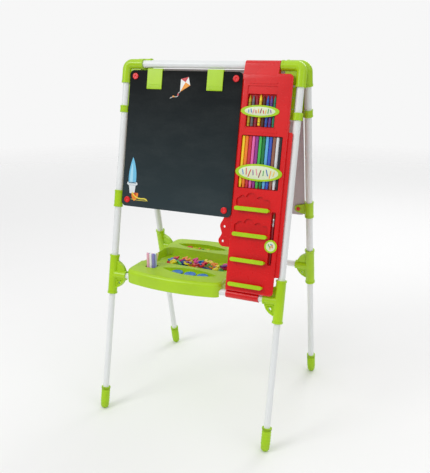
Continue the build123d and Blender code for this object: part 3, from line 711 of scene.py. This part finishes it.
def kite_print(x, s):
    """Chalk drawing of a kite with a wavy tail."""
    white, orange, crimson = "EDEDEA", "F09A22", "C8343C"
    top, right, low, left, cross = (14, 34), (21.4, 8.6), (-12, -12), (-11.6, 27.2), (4.9, 17.9)
    panels = (((top, right, cross), white), ((cross, right, low), orange),
              ((low, left, cross), white), ((left, top, cross), crimson))
    for number, (corners, code) in enumerate(panels, 1):
        print_shape(f"kite_panel_{number}_print", corners, "chalk", x, s, code)
    tail = [low, (-20, -15), (-15, -24), (-26, -29), (-35, -25), (-45, -32)]
    print_line("kite_tail_print", tail, "chalk", x, s, white, 1.5)
    bow = [(-5, 0), (0, -3), (5, 0), (0, 3)]
    bows = ((-18, 20, 60, crimson), (-33, 26, -20, orange))
    for number, (across, down, turn, code) in enumerate(bows, 1):
        print_shape(f"kite_bow_{number}_print", bow, "chalk", x + across, s + down, code, turn, 1)


def sky_print(x, s):
    """Sun behind a cloud with three drops of rain."""
    cloud = "A9C0DC"
    sun_x, sun_y, sun_r = 14, 12, 14
    reach = sun_r + 3
    print_shape("sun_disc_print", round_outline(sun_r), "white", x + sun_x, s - sun_y, "F0D83A",
                0, 1)
    for number in range(5):
        turn = 40 * number
        ray_x = sun_x + reach * math.cos(math.radians(turn))
        ray_y = sun_y + reach * math.sin(math.radians(turn))
        print_shape(f"sun_ray_{number + 1}_print", petal(5, 11, 0), "white", x + ray_x, s - ray_y,
                    "E8923A", turn - 90)
    base = [(-33, -18), (27, -18), (27, -6), (-33, -6)]
    print_shape("cloud_base_print", base, "white", x, s, cloud, 0, 2)
    puffs = ((-33, -8, 10), (-17, 0, 15), (6, -1, 13), (27, -8, 10))
    for number, (across, up, r) in enumerate(puffs, 1):
        print_shape(f"cloud_puff_{number}_print", round_outline(r), "white", x + across, s - up,
                    cloud, 0, 2 + number)
    for number, across in enumerate((-22, 0, 22), 1):
        print_shape(f"rain_drop_{number}_print", petal(6, 12, 0), "white", x + across, s + 36,
                    "5C8FD0")


def chalkboard_print():
    """Kite at the top, and a paintbrush in a splash of paint at the lower left."""
    kite_print(-79.0, 72.0)
    print_shape("brush_tuft_print", petal(27, 84, -2), "chalk", -238, 378, "6FC0E4")
    print_shape("brush_tuft_light_print", petal(10, 62, 2), "chalk", -242, 374, "A5DCF2", 0, 1)
    collar = [(-18, 6), (17, 6), (19, 0), (12, -6), (10, -30), (-8, -30), (-12, -6), (-20, 0)]
    print_shape("brush_collar_print", collar, "chalk", -237, 380, "DDE3E6")
    print_line("brush_collar_line_print", [(-14, 0), (0, 1), (14, 0)], "chalk", -237, 384,
               "9FB0BA", 1.2, 1)
    print_shape("splash_orange_print", petal(24, 26, 3), "chalk", -226, 408, "EE8420", 185)
    print_shape("splash_core_print", petal(11, 15, 2), "chalk", -226, 407, "C8501C", 185, 1)
    swirl = [(-14, 8), (-6, -4), (6, -9), (20, -12), (34, -8), (42, -14)]
    print_line("splash_swirl_print", swirl, "chalk", -222, 414, "E8D84A", 4.0, 2)
    under = [(-18, -14), (4, -17), (26, -17), (46, -15)]
    print_line("splash_line_print", under, "chalk", -222, 414, "D8C83A", 1.6, 1)


def whiteboard_print():
    """Sun and cloud at the top, a row of pointed tips along the lower edge, and doodles."""
    sky_print(-14.0, 86.0)
    tips = ((-160, 16, 76, 2, "E8923A"), (-138, 26, 54, -4, "7DBCE6"),
            (-112, 25, 50, -6, "E2542E"), (-82, 30, 30, -12, "4FB0E0"),
            (-35, 36, 52, 14, "F2B42E"), (14, 27, 46, 2, "DE2E8C"), (36, 20, 70, -1, "EC9CC6"),
            (64, 24, 42, 4, "DCE6EE"), (94, 24, 36, -11, "E98A34"), (113, 14, 52, 3, "A5DCDC"),
            (133, 27, 50, 9, "EEE23A"))
    foot_s = 486
    for number, (tip_x, width, height, sway, code) in enumerate(tips, 1):
        print_shape(f"tip_{number}_print", petal(width, height, sway), "white", tip_x, foot_s,
                    code, 0, number % 2)
        light = petal(width * 0.3, height * 0.6, sway * 0.6)
        print_shape(f"tip_light_{number}_print", light, "white", tip_x - width * 0.12, foot_s - 1,
                    paler(code), 0, 2)
    print_line("doodle_brown_print", scribble(58, 24, 4), "white", -72, 436, "B07A3C", 1.4, 3)
    tail = [(-20, 14), (-8, 0), (6, 8), (20, -6), (34, -2)]
    print_line("doodle_brown_tail_print", tail, "white", -92, 432, "9A6A34", 1.2, 4)
    print_line("doodle_pink_print", scribble(26, 12, 3), "white", 6, 432, "D890B8", 1.2, 3)


def paler(code):
    """A screen colour half way to white, for the light side of a printed shape."""
    return "".join(f"{int(int(code[i:i + 2], 16) * 0.5 + 127):02X}" for i in (0, 2, 4))


# ---- magnets, toy figures, chalk and marker -----------------------------------------
def soften(bm, width):
    """Round the edges of a bmesh over width millimetres."""
    bmesh.ops.dissolve_limit(bm, angle_limit=math.radians(3), verts=bm.verts, edges=bm.edges)
    limit = math.radians(40.0)
    sharp = [e for e in bm.edges if len(e.link_faces) == 2 and e.calc_face_angle(0) > limit]
    bmesh.ops.bevel(bm, geom=sharp, offset=width, offset_type="OFFSET", segments=3, profile=0.6,
                    affect="EDGES", clamp_overlap=True)
    return bm


toy_codes = {"magenta": "E0218C", "yellow": "F5E01C", "green": "2FAE4C", "blue": "1F78D0",
             "red": "DE2430", "orange": "F28A22", "violet": "7A3FA8", "navy": "23408E",
             "wine": "7A1A2A", "dark": "2B2B33"}
toys = {name: plastic("toy_" + name, code, gloss=0.28, edge=1.3, grain=FINE_GRAIN, coat=0.35)
        for name, code in toy_codes.items()}


def magnet_set(node, place, colours, body, round_over):
    """The solids of a CAD node again, with rounded edges and a colour each."""
    for number, (bm, colour) in enumerate(zip(solids(node, place), colours), 1):
        piece(f"{node}_{number}", soften(bm, round_over), place, toys[colour], body,
              first_replaces(number, node))


def upright(bm):
    """Place at the foot of an upright round solid, its radius and its height; frees it."""
    low, high = limits(bm)
    bm.free()
    foot = Matrix.Translation(((low.x + high.x) / 2, (low.y + high.y) / 2, low.z))
    return foot, (high.x - low.x) / 2, high.z - low.z


def disc(r, thick):
    """Round magnet with a rounded rim and a moulded ring on its face."""
    return lathe([(r - 1.4, 0), (r - 0.2, 0.6), (r, 1.4), (r, thick - 1.6),
                  (r - 0.5, thick - 0.5), (r - 1.6, thick), (r - 4.0, thick),
                  (r - 4.6, thick - 0.6), (r - 5.6, thick - 0.6), (r - 6.2, thick),
                  (r * 0.25, thick), (r * 0.2, thick - 0.4)], 48)


def disc_set(node, place, colours, body):
    for number, (bm, colour) in enumerate(zip(solids(node, place), colours), 1):
        foot, r, thick = upright(bm)
        piece(f"{node}_{number}", disc(r, thick), place @ foot, toys[colour], body,
              first_replaces(number, node))


def toy_heap():
    """Second layer of loose figures over the ones on the tray's floor, tipped at random."""
    flat = []
    for bm in solids("tray_figures", ROW):
        bm.transform(Matrix.Translation(-centre(bm)))
        flat.append(soften(bm, 1.2))
    low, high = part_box("tray_figures")
    rng = random.Random(11)
    names = ("blue", "red", "yellow", "magenta", "green", "orange", "navy", "yellow", "violet",
             "magenta", "red", "blue")
    count = 22
    margin_x, margin_y = 0.012, 0.010    # metres
    wander, lean, size = 6, 16, 0.86     # millimetres, degrees, scale
    width = high.x - low.x - 2 * margin_x
    for number in range(count):
        x = (low.x + margin_x + width * (number + 0.5) / count) / MM + rng.uniform(-wander, wander)
        y = rng.uniform(low.y + margin_y, high.y - margin_y) / MM
        z = high.z / MM + 4.4 + 1.6 * (number % 3)
        turn = Matrix.Rotation(rng.uniform(0, 2 * math.pi), 4, "Z")
        tip_x = Matrix.Rotation(math.radians(rng.uniform(-lean, lean)), 4, "X")
        tip_y = Matrix.Rotation(math.radians(rng.uniform(-lean, lean)), 4, "Y")
        bm = flat[rng.randrange(len(flat))].copy()
        place = ROW @ Matrix.Translation((x, y, z)) @ (tip_x @ tip_y) @ turn @ Matrix.Scale(size, 4)
        piece(f"toy_figure_{number + 1}", bm, place, toys[names[number % len(names)]], "tray")
    for bm in flat:
        bm.free()


def recess_bits():
    """Small pieces in the two lens recesses, beside the round magnets."""
    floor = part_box("tray_discs")[0].z / MM
    length, width, thick = 13, 6, 4
    rows = ((47, -126, "wine", 20), (-62, 118, "dark", 0), (-78, 126, "yellow", 60),
            (-96, 119, "dark", 20), (-112, 127, "orange", 75), (-128, 120, "yellow", 10))
    for number, (x, y, colour, degrees) in enumerate(rows, 1):
        bm = bmesh.new()
        bmesh.ops.create_cube(bm, size=1.0, matrix=Matrix.Diagonal((length, width, thick, 1)))
        turn = Matrix.Rotation(math.radians(degrees), 4, "Z")
        place = ROW @ Matrix.Translation((x, y, floor + thick / 2)) @ turn
        piece(f"recess_piece_{number}", soften(bm, 1.3), place, toys[colour], "tray")
    piece("recess_disc", disc(12.0, 4.5), ROW @ Matrix.Translation((-150, 123, floor)),
          toys["red"], "tray")


def chalk_sticks():
    """Sticks upright in their pot, and one more that leans behind them."""
    codes = ("EDB3C9", "8FA6DE", "F5F2F2", "E7B9D6", "8C86CC", "BFD0EE")
    for number, (bm, code) in enumerate(zip(solids("chalk_sticks", ROW), codes), 1):
        foot, r, length = upright(bm)
        piece(f"chalk_stick_{number}", chalk_stick(r, length, number), ROW @ foot,
              chalk_stuff(f"chalk_{number}", code), "tray",
              first_replaces(number, "chalk_sticks"))
    low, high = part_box("chalk_sticks")
    foot = Matrix.Translation((low.x / MM + 18, high.y / MM + 3.6, low.z / MM + 1))
    lean = foot @ Matrix.Rotation(math.radians(14), 4, "Y")
    piece("chalk_stick_leaning", chalk_stick(3.1, 58, 3), ROW @ lean,
          chalk_stuff("chalk_cream", "F0D9A4"), "tray")


def chalk_stick(r, length, wear):
    """Slightly tapered stick with one worn end; wear varies its slant."""
    bm = lathe([(r - 0.9, 0), (r - 0.2, 0.5), (r, 2), (r - 0.3, length - 4),
                (r - 0.7, length - 1.5), (r - 1.8, length)], 28)
    slope = 0.22 * math.sin(2.1 * wear)
    for vert in bm.verts:
        if vert.co.z > length - 5:
            vert.co.z -= 0.6 + slope * vert.co.x
    return bm


def marker():
    """Board marker: white barrel with a navy end, and a navy cap with a clip."""
    barrel_length, cap_length = 64.0, 44.0
    barrel_middle = centre(solids("marker_barrel", ROW)[0])
    cap_middle = centre(solids("marker_cap", ROW)[0])
    along = (cap_middle - barrel_middle).normalized()
    turn = along.to_track_quat("Z", "Y").to_matrix().to_4x4()
    barrel_place = ROW @ Matrix.Translation(barrel_middle - along * barrel_length / 2) @ turn
    cap_place = ROW @ Matrix.Translation(cap_middle - along * cap_length / 2) @ turn
    barrel = [(4.6, 0), (5.9, 0.6), (6.3, 2), (6.3, 11), (6.0, 11.3), (6.0, 12.2), (6.5, 12.6),
              (6.5, 58), (6.2, 59), (6.2, barrel_length)]
    bands = [1] * 3 + [0] * 6
    cap = [(6.9, 0), (7.2, 0.6), (7.2, 3), (6.9, 3.4), (6.9, 4.6), (7.2, 5.0), (7.0, 34),
           (6.4, 40), (5.4, 43.2), (4.2, cap_length)]
    white = plastic("marker_white_plastic", "E9ECF2", gloss=0.25, edge=1.1, grain=FINE_GRAIN,
                    coat=0.4)
    navy = plastic("marker_navy_plastic", "1C2E73", gloss=0.25, edge=1.6, grain=FINE_GRAIN,
                   coat=0.4)
    piece("marker_barrel_turned", lathe(barrel, 32, bands), barrel_place, [white, navy], "tray",
          ("marker_barrel",))
    piece("marker_cap_turned", lathe(cap, 32), cap_place, navy, "tray",
          ("marker_cap",))
    clip = bmesh.new()
    clip_box = Matrix.Translation((0, 8.2, 24)) @ Matrix.Diagonal((4, 1.6, 30, 1))
    bmesh.ops.create_cube(clip, size=1.0, matrix=clip_box)
    piece("marker_clip", soften(clip, 0.6), cap_place, navy, "tray")


# ---- stage ------------------------------------------------------------------------
def stage_floor():
    """Wide pale floor that fades into the backdrop."""
    fade_from, fade_to = 1.6, 6.0
    bm = bmesh.new()
    bmesh.ops.create_grid(bm, x_segments=8, y_segments=8, size=8.0)
    mesh = bpy.data.meshes.new("floor")
    bm.to_mesh(mesh)
    bm.free()
    floor = bpy.data.objects.new("floor", mesh)
    bpy.context.scene.collection.objects.link(floor)
    made = Finish("floor_paper", Roughness=0.6)
    away = made.node("ShaderNodeVectorMath", operation="LENGTH")
    made.feed(away.inputs[0], made.where)
    fade = made.remap(away.outputs["Value"], fade_from, fade_to, 1.0, 0.0)
    made.feed(made.shader.inputs["Alpha"], fade)
    mesh.materials.append(made.done(made.mix(made.noise(0.8), tone("EEEEEE"), tone("F1F1F1"))))


def area_light(name, location, target, size, power):
    data = bpy.data.lights.new(name, "AREA")
    data.shape = "DISK"
    data.size = size
    data.energy = power
    lamp = bpy.data.objects.new(name, data)
    lamp.location = location
    lamp.rotation_euler = (Vector(target) - Vector(location)).to_track_quat("-Z", "Y").to_euler()
    bpy.context.scene.collection.objects.link(lamp)


def backdrop():
    """Pale backdrop, and a softer light from it that is brightest overhead."""
    world = bpy.data.worlds.new("studio")
    bpy.context.scene.world = world
    world.use_nodes = True
    tree = world.node_tree
    seen = tree.nodes["Background"]
    seen.inputs["Strength"].default_value = 0.93
    seen.inputs["Color"].default_value = (1.0, 1.0, 1.0, 1.0)
    lit = tree.nodes.new("ShaderNodeBackground")
    height = tree.nodes.new("ShaderNodeSeparateXYZ")
    tree.links.new(tree.nodes.new("ShaderNodeTexCoord").outputs["Generated"], height.inputs[0])
    glow = tree.nodes.new("ShaderNodeMapRange")
    tree.links.new(height.outputs["Z"], glow.inputs["Value"])
    for name, value in (("From Min", -0.1), ("From Max", 0.9), ("To Min", 0.38), ("To Max", 1.25)):
        glow.inputs[name].default_value = value
    tree.links.new(glow.outputs["Result"], lit.inputs["Strength"])
    pick = tree.nodes.new("ShaderNodeMixShader")
    rays = tree.nodes.new("ShaderNodeLightPath")
    tree.links.new(rays.outputs["Is Camera Ray"], pick.inputs["Fac"])
    tree.links.new(lit.outputs[0], pick.inputs[1])
    tree.links.new(seen.outputs[0], pick.inputs[2])
    tree.links.new(pick.outputs[0], tree.nodes["World Output"].inputs["Surface"])


def studio():
    backdrop()
    aim = (0, 0, 0.6)
    area_light("key", (-1.9, -2.6, 2.9), aim, size=1.6, power=42)
    area_light("fill", (2.8, -1.2, 1.8), aim, size=2.0, power=10)
    area_light("back", (0.6, 3.0, 2.6), aim, size=1.8, power=27)
    bpy.context.scene.view_settings.view_transform = "Standard"


def camera():
    data = bpy.data.cameras.new("camera")
    data.lens = 46.0
    data.sensor_width = 36.0
    made = bpy.data.objects.new("camera", data)
    made.location = (0.781, -1.750, 1.171)
    yaw = math.radians(23.9)
    pitch = math.radians(17.4)
    look = Vector((-math.sin(yaw) * math.cos(pitch), math.cos(yaw) * math.cos(pitch),
                   -math.sin(pitch)))
    made.rotation_euler = look.to_track_quat("-Z", "Y").to_euler()
    bpy.context.scene.collection.objects.link(made)
    bpy.context.scene.camera = made


keep_all()
crayons()
felt_pens()
paintbrush()
labels()
chalkboard_print()
whiteboard_print()
magnet_set("magnet_figures", WHITE, ("magenta", "yellow", "green", "magenta", "yellow"),
           "white_frame", 1.6)
magnet_set("magnet_bars", WHITE, ("blue", "green", "yellow", "green"), "white_frame", 1.2)
disc_set("magnet_discs", WHITE, ("red", "blue", "red"), "white_frame")
disc_set("tray_discs", ROW, ("blue", "blue", "blue"), "tray")
toy_heap()
magnet_set("tray_figures", ROW, ("red", "green", "blue", "yellow", "orange", "blue", "navy",
                                 "magenta", "green", "red"), "tray", 1.2)
recess_bits()
chalk_sticks()
marker()
stage_floor()
studio()
camera()
